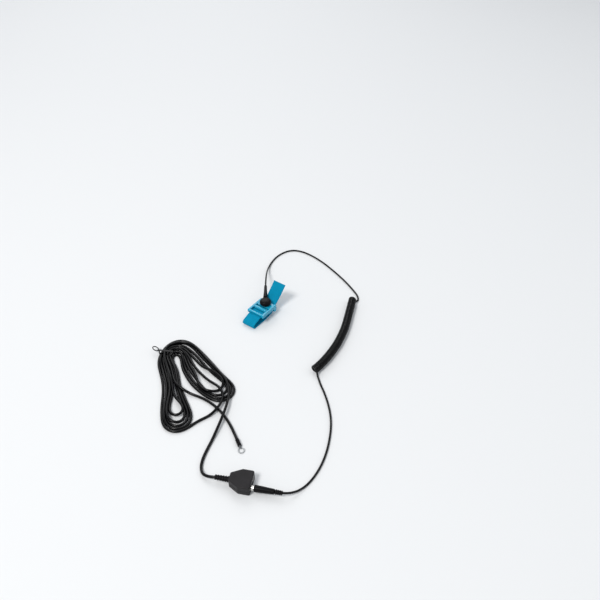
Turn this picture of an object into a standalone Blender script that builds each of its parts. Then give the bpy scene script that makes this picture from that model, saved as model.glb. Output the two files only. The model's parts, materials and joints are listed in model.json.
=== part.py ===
"""ESD wrist strap with its coil cord and its common-point ground cord.

The row frame: origin on the floor under the middle of the wristband, +X along the band towards
its loose tail, +Z up. Every number below is in millimetres (MM turns them into Blender's metres)
and every angle is in degrees.
"""

from math import cos, pi, radians, sin

import bmesh
import bpy
from mathutils import Matrix, Vector

MM = 0.001
GAP = 0.3  # between two pieces that touch on the real object

# Elastic band
BAND_WIDTH = 20.0
BAND_THICK = 1.4
BAND_STEP = 1.6  # spacing of the points along the strip
STRIP_Z = 11.1  # middle of the strip inside the buckle
END_BAR = (7.5, 6.9)  # x, z of the bar that the sewn end goes round
END_BAR_RADIUS = 1.2
SEWN_SLOPE = 20.0  # angle at which the strip rises from the floor to the end bar
SEWN_START = 10.5  # how far the sewn layer reaches back from the end bar
LOOP_END = (-32.9, 3.8)  # x, z of the middle of the wrist loop's round end
LOOP_END_RADIUS = 3.1
LOOP_SLOPE = 18.0
LOOP_TOP = [(-28.5, 8.55), (-23.5, 10.15), (-19.5, 11.0), (-17.0, STRIP_Z), (-8.0, STRIP_Z)]
TAIL = [(1.0, STRIP_Z), (8.2, STRIP_Z), (12.6, 11.9), (17.6, 14.6), (23.4, 19.3), (29.8, 25.2), (36.2, 31.6)]

# Buckle
RAIL_INNER = 10.6
RAIL_OUTER = 13.3
RAIL_LOW, RAIL_TOP = 9.6, 15.2
RAIL_LEFT, RAIL_RIGHT = -21.0, 10.2
LUG_RADIUS = 2.7
GUIDE_BAR = (-20.7, 12.1, -17.6, 14.9)  # x low, z low, x high, z high
ANVIL_BAR = (-12.6, 8.4, -4.2, 10.1)
STUD_PLATE = (-3.4, 12.9, 8.8, 14.9)
CONTACT_PLATE = (-2.4, 12.1, 7.4, 12.6)
CONTACT_PLATE_HALF_WIDTH = 7.0

# Locking bar
LOCK_PIVOT = (-9.5, 13.5)
LOCK_HUB = 1.4
LOCK_NOSE = -5.6
LOCK_TOP = 15.5
LOCK_HALF_LENGTH = 10.2
TRUNNION_RADIUS = 0.8
TRUNNION_END = 12.3

# Snap and connector, turned about the stud
STUD = (2.5, 0.0)
STUD_HOLE = 1.4
CONNECTOR_RADIUS = 8.0
CONNECTOR_LOW, CONNECTOR_TOP = 16.1, 22.6
PARTING_Z = 19.05
BOOT_HEADING = 38.0
BOOT_END = 36.0
CORD_RADIUS = 1.25
BORE_RADIUS = CORD_RADIUS + GAP

# Coil cord
COIL_RADIUS = 5.5
COIL_ROUTE = [
    (93.2, -88.0), (74.2, -96.0), (56.5, -103.5), (40.8, -110.0), (24.4, -115.5),
    (5.4, -120.5), (-11.5, -123.2), (-28.4, -124.8), (-43.4, -124.9), (-54.4, -123.8),
]
CONNECTOR_LEAD = [
    (31.1, 22.4, 19.05), (39.0, 28.4, 18.6), (50.0, 36.6, 16.2), (62.0, 45.3, 11.8), (74.0, 53.4, 6.8),
    (87.0, 60.6, 2.9), (100.0, 65.6, 1.5), (114.0, 68.2, 1.3), (128.5, 67.4, 1.3), (140.5, 62.8, 1.3),
    (148.5, 54.0, 1.3), (152.2, 40.0, 1.3), (151.2, 21.0, 1.3), (146.6, -1.0, 1.3), (139.4, -22.5, 1.3),
    (131.3, -43.5, 1.3), (122.8, -62.0, 1.3), (115.3, -76.0, 1.3), (109.7, -85.0, 1.3),
    (104.0, -90.8, 1.3), (99.2, -92.3, 1.5), (96.3, -92.0, 2.0),
]
PLUG_LEAD = [
    (-55.6, -127.0, 1.6), (-59.0, -131.5, 1.3), (-66.0, -140.5, 1.3), (-76.0, -154.0, 1.3),
    (-88.5, -168.0, 1.3), (-102.8, -181.2, 1.3), (-118.3, -191.8, 1.3), (-136.0, -200.9, 1.3),
    (-152.0, -207.2, 1.3), (-168.0, -211.4, 1.3), (-183.5, -213.4, 1.3), (-197.0, -213.2, 1.4),
    (-208.0, -210.8, 2.4), (-216.0, -206.6, 4.8), (-221.0, -200.1, 6.25),
]

# Jack frame: x out of the used jack, y towards the free jack
JACK_POINT = (-235.5, -169.0)
JACK_HEADING = -65.0
JACK_Z = 6.25
JACK_SPACING = 11.2
PIN_TIP = -13.8
HANDLE_END = 25.5
PLUG_RELIEF_END = 34.0

# Ground housing
HOUSING_LENGTH = 25.0
HOUSING_HALF_WIDTH = 11.8
HOUSING_NECK = 5.0
HOUSING_SHOULDER = -13.0
HOUSING_TOP = 12.8
HOUSING_WALL = 1.6
SLEEVE_RADIUS = 2.9
SLEEVE_BORE = 2.3
SLEEVE_END = -14.5
MAT_SNAP_X = -9.3

# Ground cord
GROUND_RADIUS = 1.7
GROUND_BORE = GROUND_RADIUS + GAP
GROUND_RELIEF_LENGTH = 16.3
HANK_HEIGHT = 8.4
# outer x, y and inner x, y across the folded hank, from its left end round to its right end
HANK = [
    (-227.5, -26.5, -197.5, -47.7), (-213.0, -9.5, -184.3, -26.5), (-196.5, 5.0, -174.3, -8.3),
    (-181.0, 22.0, -163.5, 5.0), (-168.5, 39.5, -151.8, 17.5), (-158.0, 52.0, -144.6, 31.0),
    (-147.0, 58.0, -138.5, 42.0), (-134.5, 62.5, -131.0, 40.5), (-121.5, 62.0, -131.8, 32.0),
    (-111.0, 55.0, -139.0, 25.0), (-107.3, 42.5, -146.5, 18.3), (-109.0, 27.0, -152.0, 11.5),
    (-114.0, 6.0, -158.3, 0.5), (-119.8, -14.0, -163.8, -13.5), (-125.8, -33.0, -167.0, -31.0),
    (-130.0, -47.0, -167.3, -49.5),
]
HANK_END_BULGE = 1.08  # the round ends against a half circle
TIE_SECTION = 6  # the section of the hank that the tie goes round
TIE_SLOT = 3.0
TIE_LOOP_LEAN = -33.0
NEAR_LEAD = [
    (-248.0, -128.9, 6.25), (-251.3, -121.8, 5.2), (-251.0, -114.5, 3.2), (-246.6, -107.6, 1.9),
    (-239.5, -102.3, 1.75), (-230.5, -98.0, 1.8), (-219.5, -94.0, 2.4), (-207.0, -89.8, 3.6),
    (-194.5, -85.5, 5.4), (-182.5, -80.9, 6.8), (-170.5, -75.6, 7.2), (-159.5, -69.6, 6.9),
]
CROSS_LEAD = [
    (-167.6, -62.4, 6.2), (-174.0, -65.6, 5.0), (-182.0, -65.6, 3.6), (-190.5, -62.8, 2.4),
    (-198.0, -59.4, 1.8), (-202.6, -57.8, 1.75),
]
RING_LEAD = [
    (-174.0, -15.0, 3.4), (-172.4, -25.0, 2.0), (-171.0, -36.0, 1.75), (-170.6, -48.0, 1.75),
    (-171.6, -60.5, 1.75), (-175.2, -76.0, 1.75), (-181.6, -92.0, 1.75), (-189.0, -105.6, 1.9),
    (-195.9, -117.2, 2.35),
]
RING_CENTRE = (-201.7, -126.9)
RING_HEADING = 59.3  # from the ring towards its cord
RING_RADIUS = 4.0
RING_HOLE = 2.65
RING_THICK = 0.8
BARREL_Z = 2.35

COLLECTION = "esd_wrist_strap"

# slot: base colour, roughness, metallic
MATERIALS = {
    "elastic_blue": ((0.012, 0.250, 0.480), 0.85, 0.0),
    "buckle_blue": ((0.060, 0.380, 0.680), 0.30, 0.0),
    "black_plastic": ((0.022, 0.020, 0.022), 0.42, 0.0),
    "black_cord": ((0.008, 0.008, 0.009), 0.38, 0.0),
    "housing_black": ((0.040, 0.035, 0.038), 0.55, 0.0),
    "nickel": ((0.720, 0.710, 0.690), 0.24, 1.0),
    "stainless": ((0.600, 0.600, 0.610), 0.32, 1.0),
    "brass": ((0.720, 0.520, 0.220), 0.30, 1.0),
    "resistor_body": ((0.280, 0.420, 0.500), 0.45, 0.0),
    "tin": ((0.760, 0.770, 0.780), 0.22, 1.0),
    "tie_black": ((0.015, 0.015, 0.016), 0.50, 0.0),
}


# ---------------------------------------------------------------- scene and materials

def clear_scene():
    for item in list(bpy.data.objects):
        bpy.data.objects.remove(item, do_unlink=True)


def make_collection(name):
    found = bpy.data.collections.new(name)
    bpy.context.scene.collection.children.link(found)
    return found


def make_material(slot):
    colour, roughness, metallic = MATERIALS[slot]
    found = bpy.data.materials.new(slot)
    found.use_nodes = True
    shader = found.node_tree.nodes["Principled BSDF"]
    shader.inputs["Base Color"].default_value = (*colour, 1.0)
    shader.inputs["Roughness"].default_value = roughness
    shader.inputs["Metallic"].default_value = metallic
    found.diffuse_color = (*colour, 1.0)
    return found


def link_part(obj, slot, parent=None):
    """Puts a finished piece in the object's collection, with a material of its own."""
    parts.objects.link(obj)
    obj.data.materials.clear()
    obj.data.materials.append(make_material(slot))
    obj.parent = parent
    return obj


def link_cutter(obj, parent=None):
    cutters.objects.link(obj)
    obj.hide_render = True
    obj.display_type = "WIRE"
    obj.parent = parent
    return obj


def make_frame(name, x, y, z, heading):
    """An empty that a group of pieces is built in: its X axis points along heading."""
    frame = bpy.data.objects.new(name, None)
    parts.objects.link(frame)
    frame.location = (x * MM, y * MM, z * MM)
    frame.rotation_euler = (0.0, 0.0, radians(heading))
    return frame


# ---------------------------------------------------------------- outlines and routes

def arc(centre, radius, start, end, steps):
    """Points on a circle from angle start to angle end, both included."""
    angles = [radians(start + (end - start) * i / steps) for i in range(steps + 1)]
    return [(centre[0] + radius * cos(a), centre[1] + radius * sin(a)) for a in angles]


def rounded(corners, steps=3):
    """An outline whose corners (x, y, radius) are rounded by arcs."""
    outline = []
    for i, (x, y, radius) in enumerate(corners):
        here = Vector((x, y))
        if radius == 0.0:
            outline.append((x, y))
            continue
        before = (Vector(corners[i - 1][:2]) - here).normalized()
        after = (Vector(corners[(i + 1) % len(corners)][:2]) - here).normalized()
        half = before.angle(after) / 2
        centre = here + (before + after).normalized() * (radius / sin(half))
        reach = radius * cos(half) / sin(half)
        first = here + before * reach - centre
        last = here + after * reach - centre
        turn = first.angle_signed(last)
        for k in range(steps + 1):
            spoke = first.copy()
            spoke.rotate(Matrix.Rotation(-turn * k / steps, 2))
            outline.append(tuple(centre + spoke))
    return outline


def box_outline(x_low, y_low, x_high, y_high, radius):
    corners = [(x_low, y_low), (x_high, y_low), (x_high, y_high), (x_low, y_high)]
    return rounded([(x, y, radius) for x, y in corners])


def smooth_curve(route, step):
    """Evenly spaced points on a centripetal-like spline through the route's own points."""
    knots = [Vector(point) for point in route]
    knots = [2 * knots[0] - knots[1]] + knots + [2 * knots[-1] - knots[-2]]
    fine = []
    for a, b, c, d in zip(knots, knots[1:], knots[2:], knots[3:]):
        for i in range(24):
            t = i / 24
            fine.append(0.5 * (2 * b + (c - a) * t + (2 * a - 5 * b + 4 * c - d) * t ** 2
                               + (3 * b - a - 3 * c + d) * t ** 3))
    fine.append(knots[-2])
    along = [0.0]
    for before, after in zip(fine, fine[1:]):
        along.append(along[-1] + (after - before).length)
    count = max(2, round(along[-1] / step))
    points = []
    j = 0
    for i in range(count + 1):
        want = along[-1] * i / count
        while j < len(along) - 2 and along[j + 1] < want:
            j += 1
        share = (want - along[j]) / (along[j + 1] - along[j])
        points.append(fine[j].lerp(fine[j + 1], share))
    return points


# ---------------------------------------------------------------- shapes

def curve_to_mesh(curve):
    """The evaluated curve as a mesh object with its caps welded; the curve is removed."""
    bpy.context.scene.collection.objects.link(curve)
    graph = bpy.context.evaluated_depsgraph_get()
    mesh = bpy.data.meshes.new_from_object(curve.evaluated_get(graph))
    shape = bmesh.new()
    shape.from_mesh(mesh)
    bmesh.ops.remove_doubles(shape, verts=shape.verts, dist=0.01 * MM)
    shape.to_mesh(mesh)
    shape.free()
    name = curve.name
    placed = curve.matrix_world.copy()
    bpy.data.objects.remove(curve, do_unlink=True)
    obj = bpy.data.objects.new(name, mesh)
    obj.matrix_world = placed
    return obj


def prism(name, outlines, low, high, upright=False):
    """A flat outline, or several for holes, filled and extruded from low to high.

    It is extruded along Z, or along Y with upright, where the outline is in X and Z.
    """
    data = bpy.data.curves.new(name, "CURVE")
    data.dimensions = "2D"
    data.fill_mode = "BOTH"
    data.extrude = (high - low) / 2 * MM
    for outline in outlines:
        spline = data.splines.new("POLY")
        spline.points.add(len(outline) - 1)
        for point, (x, y) in zip(spline.points, outline):
            point.co = (x * MM, y * MM, 0.0, 1.0)
        spline.use_cyclic_u = True
    obj = curve_to_mesh(bpy.data.objects.new(name, data))
    middle = (low + high) / 2 * MM
    for vertex in obj.data.vertices:
        x, y, z = vertex.co
        vertex.co = (x, middle - z, y) if upright else (x, y, z + middle)
    return obj


def tube(name, points, radius, sides=2, closed=False):
    """A round tube along the points, with filled caps."""
    data = bpy.data.curves.new(name, "CURVE")
    data.dimensions = "3D"
    data.bevel_depth = radius * MM
    data.bevel_resolution = sides
    data.use_fill_caps = True
    spline = data.splines.new("POLY")
    spline.points.add(len(points) - 1)
    for point, at in zip(spline.points, points):
        point.co = (*(Vector(at) * MM), 1.0)
    spline.use_cyclic_u = closed
    return bpy.data.objects.new(name, data)


def turned(name, profile, steps=24, ring=False, along_x=False):
    """A body of revolution: profile is (radius, height), down its outer side from the top.

    A ring's profile closes on itself and leaves a bore. With along_x the axis is X, and the
    heights run along it.
    """
    mesh = bpy.data.meshes.new(name)
    verts = [(r * MM, 0.0, h * MM) for r, h in profile]
    edges = [(i, i + 1) for i in range(len(profile) - 1)]
    if ring:
        edges.append((len(profile) - 1, 0))
    mesh.from_pydata(verts, edges, [])
    obj = bpy.data.objects.new(name, mesh)
    screw = obj.modifiers.new("Screw", "SCREW")
    screw.steps = steps
    screw.render_steps = steps
    screw.use_merge_vertices = not ring
    screw.merge_threshold = 0.000001
    if along_x:
        obj.rotation_euler = (0.0, pi / 2, 0.0)
    return obj


def cylinder(name, radius, start, end, segments=20, along="Z"):
    """A plain round bar between two points on its axis."""
    start, end = Vector(start), Vector(end)
    mesh = bpy.data.meshes.new(name)
    shape = bmesh.new()
    bmesh.ops.create_cone(shape, cap_ends=True, segments=segments, radius1=radius * MM,
                          radius2=radius * MM, depth=(end - start).length * MM)
    shape.to_mesh(mesh)
    shape.free()
    obj = bpy.data.objects.new(name, mesh)
    obj.location = (start + end) / 2 * MM
    turns = {"Z": (0.0, 0.0, 0.0), "X": (0.0, pi / 2, 0.0), "Y": (pi / 2, 0.0, 0.0)}
    obj.rotation_euler = turns[along]
    return obj


def boolean(obj, other, operation):
    change = obj.modifiers.new(other.name, "BOOLEAN")
    change.operation = operation
    change.object = other
    change.solver = "EXACT"


def cut(obj, other, parent=None):
    boolean(obj, link_cutter(other, parent), "DIFFERENCE")


def join(obj, other, parent=None):
    boolean(obj, link_cutter(other, parent), "UNION")


def place(obj, x, y, z=0.0):
    obj.location = (x * MM, y * MM, z * MM)
    return obj


def soften(obj, angle=35.0):
    """Smooth shading with edges kept sharp over an angle."""
    obj.data.shade_smooth()
    obj.data.set_sharp_from_angle(angle=radians(angle))


# ---------------------------------------------------------------- wristband

def strip_path():
    """The strip's middle line (x, z): sewn end, end bar, floor, loop end, buckle, tail."""
    half = BAND_THICK / 2
    wrap = END_BAR_RADIUS + GAP + half
    along = Vector((cos(radians(SEWN_SLOPE)), sin(radians(SEWN_SLOPE))))
    normal = Vector((-along.y, along.x))
    leave = Vector(END_BAR) - normal * wrap
    layer = leave + normal * (BAND_THICK + GAP)
    path = [tuple(layer - along * s) for s in (SEWN_START, 7.2, 4.2)]
    path += arc(END_BAR, wrap, 168.0, SEWN_SLOPE - 90.0, 9)
    path += [tuple(leave - along * s) for s in (4.0, 8.0)]
    path += [(x, half) for x in (-8.0, -16.0, -24.0)]
    path += arc(LOOP_END, LOOP_END_RADIUS, -90.0, -270.0 + LOOP_SLOPE, 6)
    path += LOOP_TOP + TAIL
    points = smooth_curve([(x, z, 0.0) for x, z in path], BAND_STEP)
    return [(p.x, max(p.y, half)) for p in points]


def make_elastic_band():
    path = strip_path()
    mesh = bpy.data.meshes.new("elastic_band")
    verts = []
    for x, z in path:
        verts.append((x * MM, -BAND_WIDTH / 2 * MM, z * MM))
        verts.append((x * MM, BAND_WIDTH / 2 * MM, z * MM))
    faces = [(2 * i, 2 * i + 1, 2 * i + 3, 2 * i + 2) for i in range(len(path) - 1)]
    mesh.from_pydata(verts, [], faces)
    band = bpy.data.objects.new("elastic_band", mesh)
    thick = band.modifiers.new("Solidify", "SOLIDIFY")
    thick.thickness = BAND_THICK * MM
    thick.offset = 0.0
    thick.use_even_offset = True
    link_part(band, "elastic_blue")
    soften(band)


def rail_outline():
    """Side view of a rail: a long bar with a lug that hangs round the end bar."""
    lug = arc(END_BAR, LUG_RADIUS, -160.0, 0.0, 8)
    corners = [
        (RAIL_RIGHT, RAIL_TOP, 1.6), (RAIL_LEFT, RAIL_TOP, 1.6), (RAIL_LEFT, RAIL_LOW, 1.6),
        (lug[0][0], RAIL_LOW, 0.0),
    ]
    body = rounded([(*lug[-1], 0.0)] + corners)[1:]
    return lug + body


def make_buckle_frame():
    rails = []
    for side, low in (("left", RAIL_INNER), ("right", -RAIL_OUTER)):
        high = low + RAIL_OUTER - RAIL_INNER
        rails.append(prism(f"rail_{side}", [rail_outline()], low, high, upright=True))
    frame = rails[0]
    frame.name = "buckle_frame"
    link_part(frame, "buckle_blue")
    join(frame, rails[1])
    inside = RAIL_INNER + 1.0
    bars = (("guide_bar", GUIDE_BAR, 0.9), ("anvil_bar", ANVIL_BAR, 0.5), ("stud_plate", STUD_PLATE, 0.5))
    for name, bar, radius in bars:
        join(frame, prism(name, [box_outline(*bar, radius)], -inside, inside, upright=True))
    bar_x, bar_z = END_BAR
    join(frame, cylinder("end_bar", END_BAR_RADIUS, (bar_x, -inside, bar_z), (bar_x, inside, bar_z),
                         along="Y"))
    pivot_x, pivot_z = LOCK_PIVOT
    reach = TRUNNION_END + GAP
    cut(frame, cylinder("trunnion_holes", TRUNNION_RADIUS + GAP, (pivot_x, -reach, pivot_z),
                        (pivot_x, reach, pivot_z), along="Y"))
    cut(frame, cylinder("stud_hole", STUD_HOLE, (*STUD, 12.0), (*STUD, 16.0)))
    soften(frame)


def make_contact_plate():
    x_low, z_low, x_high, z_high = CONTACT_PLATE
    half = CONTACT_PLATE_HALF_WIDTH
    plate = prism("stud_contact_plate", [box_outline(x_low, -half, x_high, half, 1.5)], z_low, z_high)
    link_part(plate, "stainless")
    cut(plate, cylinder("contact_hole", STUD_HOLE, (*STUD, 11.8), (*STUD, 12.8)))
    soften(plate)


def make_snap_stud():
    """Round head and neck over a flange, with a shank that ends in the contact plate."""
    profile = [
        (0.0, 18.6), (1.1, 18.5), (1.75, 18.1), (1.95, 17.6), (1.8, 17.15), (1.55, 16.9), (1.55, 16.1),
        (1.9, 15.8), (3.2, 15.75), (3.4, 15.5), (3.4, 15.2), (1.1, 15.2), (1.1, 12.1), (0.0, 12.1),
    ]
    link_part(place(turned("snap_stud", profile), *STUD), "nickel")


def make_locking_bar():
    pivot_x, pivot_z = LOCK_PIVOT
    left = pivot_x - LOCK_HUB
    hub = arc(LOCK_PIVOT, LOCK_HUB, 180.0, 270.0, 5)
    corners = [(*hub[-1], 0.0), (LOCK_NOSE, hub[-1][1], 0.6), (LOCK_NOSE, LOCK_TOP, 1.8),
               (left, LOCK_TOP, 1.8), (*hub[0], 0.0)]
    outline = hub[:-1] + rounded(corners)[:-1]
    centred = [(x - pivot_x, z - pivot_z) for x, z in outline]
    bar = prism("locking_bar", [centred], -LOCK_HALF_LENGTH, LOCK_HALF_LENGTH, upright=True)
    link_part(place(bar, pivot_x, 0.0, pivot_z), "buckle_blue")
    pins = cylinder("trunnions", TRUNNION_RADIUS, (pivot_x, -TRUNNION_END, pivot_z),
                    (pivot_x, TRUNNION_END, pivot_z), along="Y")
    join(bar, pins)
    soften(bar)


# ---------------------------------------------------------------- snap connector

def make_snap_socket():
    """A metal cup whose inner groove holds the spring ring round the stud's neck."""
    profile = [
        (0.0, 19.5), (4.2, 19.5), (4.6, 19.1), (4.6, 16.4), (4.4, 16.1), (2.45, 16.1), (2.45, 16.5),
        (3.0, 16.5), (3.0, 17.4), (2.45, 17.4), (2.45, 18.7), (2.1, 19.0), (0.0, 19.0),
    ]
    link_part(place(turned("snap_socket", profile), *STUD), "nickel")


def make_snap_spring():
    """A split wire ring round the neck of the stud."""
    ring = [(x, y, 16.95) for x, y in arc(STUD, 2.35, 20.0, 340.0, 18)]
    link_part(tube("snap_spring", ring, 0.26), "stainless")


def make_connector(frame):
    radius = CONNECTOR_RADIUS
    base = turned("connector_base", [
        (radius, PARTING_Z - GAP / 2), (radius, 16.9), (7.2, CONNECTOR_LOW), (4.9, CONNECTOR_LOW),
        (4.9, PARTING_Z - GAP / 2),
    ], ring=True)
    cover = turned("connector_cover", [
        (0.0, CONNECTOR_TOP), (3.0, 22.5), (5.6, 22.1), (7.2, 21.2), (radius, 19.9),
        (radius, PARTING_Z + GAP / 2), (5.6, PARTING_Z + GAP / 2), (5.6, 20.6), (5.2, 21.0), (0.0, 21.0),
    ])
    for shell in (base, cover):
        link_part(shell, "black_plastic", frame)
        notch = cylinder(f"{shell.name}_notch", 2.05 + GAP, (5.0, 0.0, PARTING_Z),
                         (9.5, 0.0, PARTING_Z), along="X")
        cut(shell, notch, frame)


def make_boot(frame):
    """Tapered strain relief whose neck sits between the two halves of the connector."""
    bore = BORE_RADIUS
    outer = [
        (1.85, BOOT_END), (2.0, BOOT_END - 0.6), (2.15, 29.0), (2.45, 22.0), (2.9, 15.0), (3.25, 10.5),
        (3.3, 8.8), (3.0, 8.35), (2.05, 8.35), (2.05, 5.9),
    ]
    boot = turned("connector_boot", outer + [(bore, 5.9), (bore, BOOT_END)], 16, True, True)
    boot.location.z = PARTING_Z * MM
    link_part(boot, "black_plastic", frame)
    resistor = turned("safety_resistor", [
        (0.0, 18.4), (0.3, 18.4), (0.3, 15.9), (0.9, 15.7), (1.1, 15.2), (1.1, 14.2), (0.95, 13.8),
        (0.95, 11.4), (1.1, 11.0), (1.1, 10.0), (0.9, 9.5), (0.3, 9.3), (0.3, 6.8), (0.0, 6.8),
    ], 12, False, True)
    resistor.location.z = PARTING_Z * MM
    link_part(resistor, "resistor_body", frame)


def make_coil_cord():
    coil = smooth_curve([(x, y, COIL_RADIUS) for x, y in COIL_ROUTE], 6.0)
    link_part(tube("coil", coil, COIL_RADIUS, 4), "black_cord")
    for name, route in (("lead_to_connector", CONNECTOR_LEAD), ("lead_to_plug", PLUG_LEAD)):
        link_part(tube(name, smooth_curve(route, 8.0), CORD_RADIUS), "black_cord")


# ---------------------------------------------------------------- banana plug

def ribs(start, end, count, radius_start, radius_end, depth):
    """Outer profile of a ribbed sleeve, from end back to start, as (radius, height)."""
    profile = []
    pitch = (end - start) / count
    for i in range(count, 0, -1):
        top = start + pitch * i
        share = (i - 0.5) / count
        radius = radius_start + (radius_end - radius_start) * share
        profile += [(radius - 0.2, top), (radius, top - 0.2 * pitch), (radius, top - 0.5 * pitch),
                    (radius - depth, top - 0.6 * pitch), (radius - depth, top - 0.95 * pitch)]
    return profile


def make_plug(frame):
    pin = turned("plug_pin", [
        (0.0, 9.0), (1.3, 9.0), (1.3, 0.1), (1.75, 0.0), (1.75, -0.8), (1.2, -0.9), (1.2, -11.9),
        (1.75, -12.0), (1.75, -12.7), (1.0, PIN_TIP + 0.2), (0.0, PIN_TIP),
    ], 16, False, True)
    springs = turned("plug_springs", [
        (1.75, -1.2), (1.95, -3.0), (2.03, -6.4), (1.95, -9.8), (1.75, -11.6), (1.45, -11.6),
        (1.65, -9.8), (1.73, -6.4), (1.65, -3.0), (1.45, -1.2),
    ], 16, True, True)
    collar = turned("plug_collar", [
        (2.9, 3.2), (2.9, 0.7), (2.6, 0.3), (2.0, 0.3), (1.6, 0.5), (1.6, 3.2),
    ], 20, True, True)
    handle = turned("plug_handle", [
        (2.6, HANDLE_END), (2.95, HANDLE_END - 0.5), (3.2, 20.0), (3.6, 12.0), (3.85, 6.0), (3.9, 4.2),
        (3.5, 3.5), (1.65, 3.5), (1.65, HANDLE_END),
    ], 20, True, True)
    low = HANDLE_END + GAP
    relief = turned("plug_relief", ribs(low, PLUG_RELIEF_END, 4, 2.9, 2.5, 0.45)
                    + [(BORE_RADIUS, low), (BORE_RADIUS, PLUG_RELIEF_END)], 16, True, True)
    finishes = ((pin, "nickel"), (springs, "nickel"), (collar, "nickel"), (handle, "black_plastic"),
                (relief, "black_plastic"))
    for piece, slot in finishes:
        piece.location.z = JACK_Z * MM
        link_part(piece, slot, frame)
    for name, size_y, size_z in (("slot_level", 5.0, 0.5), ("slot_upright", 0.5, 5.0)):
        low_y, low_z = -size_y / 2, JACK_Z - size_z / 2
        slot_outline = box_outline(-10.4, low_y, -2.4, low_y + size_y, 0.2)
        cut(springs, prism(name, [slot_outline], low_z, low_z + size_z), frame)


# ---------------------------------------------------------------- ground housing

def housing_outline(inset, front, back):
    """Plan of the housing: full width at the jacks, tapering to a neck at the cord."""
    middle = JACK_SPACING / 2
    half = HOUSING_HALF_WIDTH - inset
    neck = HOUSING_NECK - inset * 0.55
    radius = max(1.8 - inset, 0.4)
    corners = [
        (front, middle - half), (front, middle + half), (HOUSING_SHOULDER, middle + half),
        (back, middle + neck), (back, middle - neck), (HOUSING_SHOULDER, middle - half),
    ]
    return rounded([(x, y, radius) for x, y in corners])


def bevel_rim(obj, z, width):
    """Rounds the outline's edges at height z."""
    shape = bmesh.new()
    shape.from_mesh(obj.data)
    rim = [e for e in shape.edges
           if all(abs(v.co.z - z * MM) < 0.01 * MM for v in e.verts) and len(e.link_faces) == 2
           and abs(e.link_faces[0].normal.z - e.link_faces[1].normal.z) > 0.5]
    bmesh.ops.bevel(shape, geom=rim, offset=width * MM, segments=2, profile=0.5, affect="EDGES")
    shape.to_mesh(obj.data)
    shape.free()


def make_housing(frame):
    middle = JACK_SPACING / 2
    floor_low, split_low = 0.0, JACK_Z - GAP / 2
    outer = housing_outline(0.0, 0.0, -HOUSING_LENGTH)
    inner = housing_outline(HOUSING_WALL, -HOUSING_WALL, -HOUSING_LENGTH + HOUSING_WALL)
    lower = prism("housing_lower", [outer], floor_low, split_low)
    upper = prism("housing_upper", [outer], JACK_Z + GAP / 2, HOUSING_TOP)
    bevel_rim(lower, floor_low, 0.8)
    bevel_rim(upper, HOUSING_TOP, 1.1)
    cavities = ((lower, HOUSING_WALL, JACK_Z + 1.0), (upper, JACK_Z - 1.0, HOUSING_TOP - HOUSING_WALL))
    for shell, low, high in cavities:
        link_part(shell, "housing_black", frame)
        cut(shell, prism(f"{shell.name}_cavity", [inner], low, high), frame)
        for name, y in (("used", 0.0), ("free", JACK_SPACING)):
            hole = cylinder(f"{shell.name}_{name}", SLEEVE_RADIUS + GAP, (-3.0, y, JACK_Z),
                            (1.0, y, JACK_Z), 24, "X")
            cut(shell, hole, frame)
        relief_hole = cylinder(f"{shell.name}_relief", 2.6 + GAP, (-HOUSING_LENGTH - 1.0, middle, JACK_Z),
                               (-HOUSING_LENGTH + 2.5, middle, JACK_Z), 24, "X")
        cut(shell, relief_hole, frame)
        soften(shell)
    cut(lower, cylinder("snap_hole", 6.0 + GAP, (MAT_SNAP_X, middle, -1.0), (MAT_SNAP_X, middle, 2.5), 32),
        frame)


def make_jacks(frame):
    """Two jack sleeves, the strip that joins them, and what hangs on the strip."""
    middle = JACK_SPACING / 2
    for name, y in (("jack_sleeve_used", 0.0), ("jack_sleeve_free", JACK_SPACING)):
        sleeve = turned(name, [
            (SLEEVE_RADIUS, -GAP), (SLEEVE_RADIUS, SLEEVE_END), (SLEEVE_BORE, SLEEVE_END),
            (SLEEVE_BORE, -GAP - 0.3), (SLEEVE_BORE + 0.25, -GAP),
        ], 20, True, True)
        link_part(place(sleeve, 0.0, y, JACK_Z), "nickel", frame)
    strip_front = SLEEVE_END - GAP
    strip_outline = box_outline(strip_front - 0.8, middle - 8.0, strip_front, middle + 8.0, 0.2)
    link_part(prism("bus_strip", [strip_outline], 4.2, 8.3), "brass", frame)
    crimp_front = strip_front - 0.8 - GAP
    crimp = turned("cord_crimp", [
        (1.7, crimp_front), (1.7, crimp_front - 4.6), (1.2, crimp_front - 4.6), (1.2, crimp_front),
    ], 16, True, True)
    link_part(place(crimp, 0.0, middle, JACK_Z), "brass", frame)
    resistor = turned("mat_resistor", [
        (0.0, -16.2), (0.9, -16.2), (1.1, -16.6), (1.1, -17.4), (0.95, -17.8), (0.95, -19.0),
        (1.1, -19.4), (1.1, -20.2), (0.9, -20.6), (0.0, -20.6),
    ], 12, False, True)
    link_part(place(resistor, 0.0, middle + 3.6, 3.1), "resistor_body", frame)
    snap = turned("mat_snap", [
        (0.0, 3.0), (5.3, 3.0), (5.7, 2.7), (7.0, 2.4), (7.0, 1.9), (6.0, 1.9), (6.0, 0.0), (4.9, 0.0),
        (4.9, 2.3), (4.6, 2.5), (0.0, 2.5),
    ], 32)
    link_part(place(snap, MAT_SNAP_X, middle), "nickel", frame)


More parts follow.
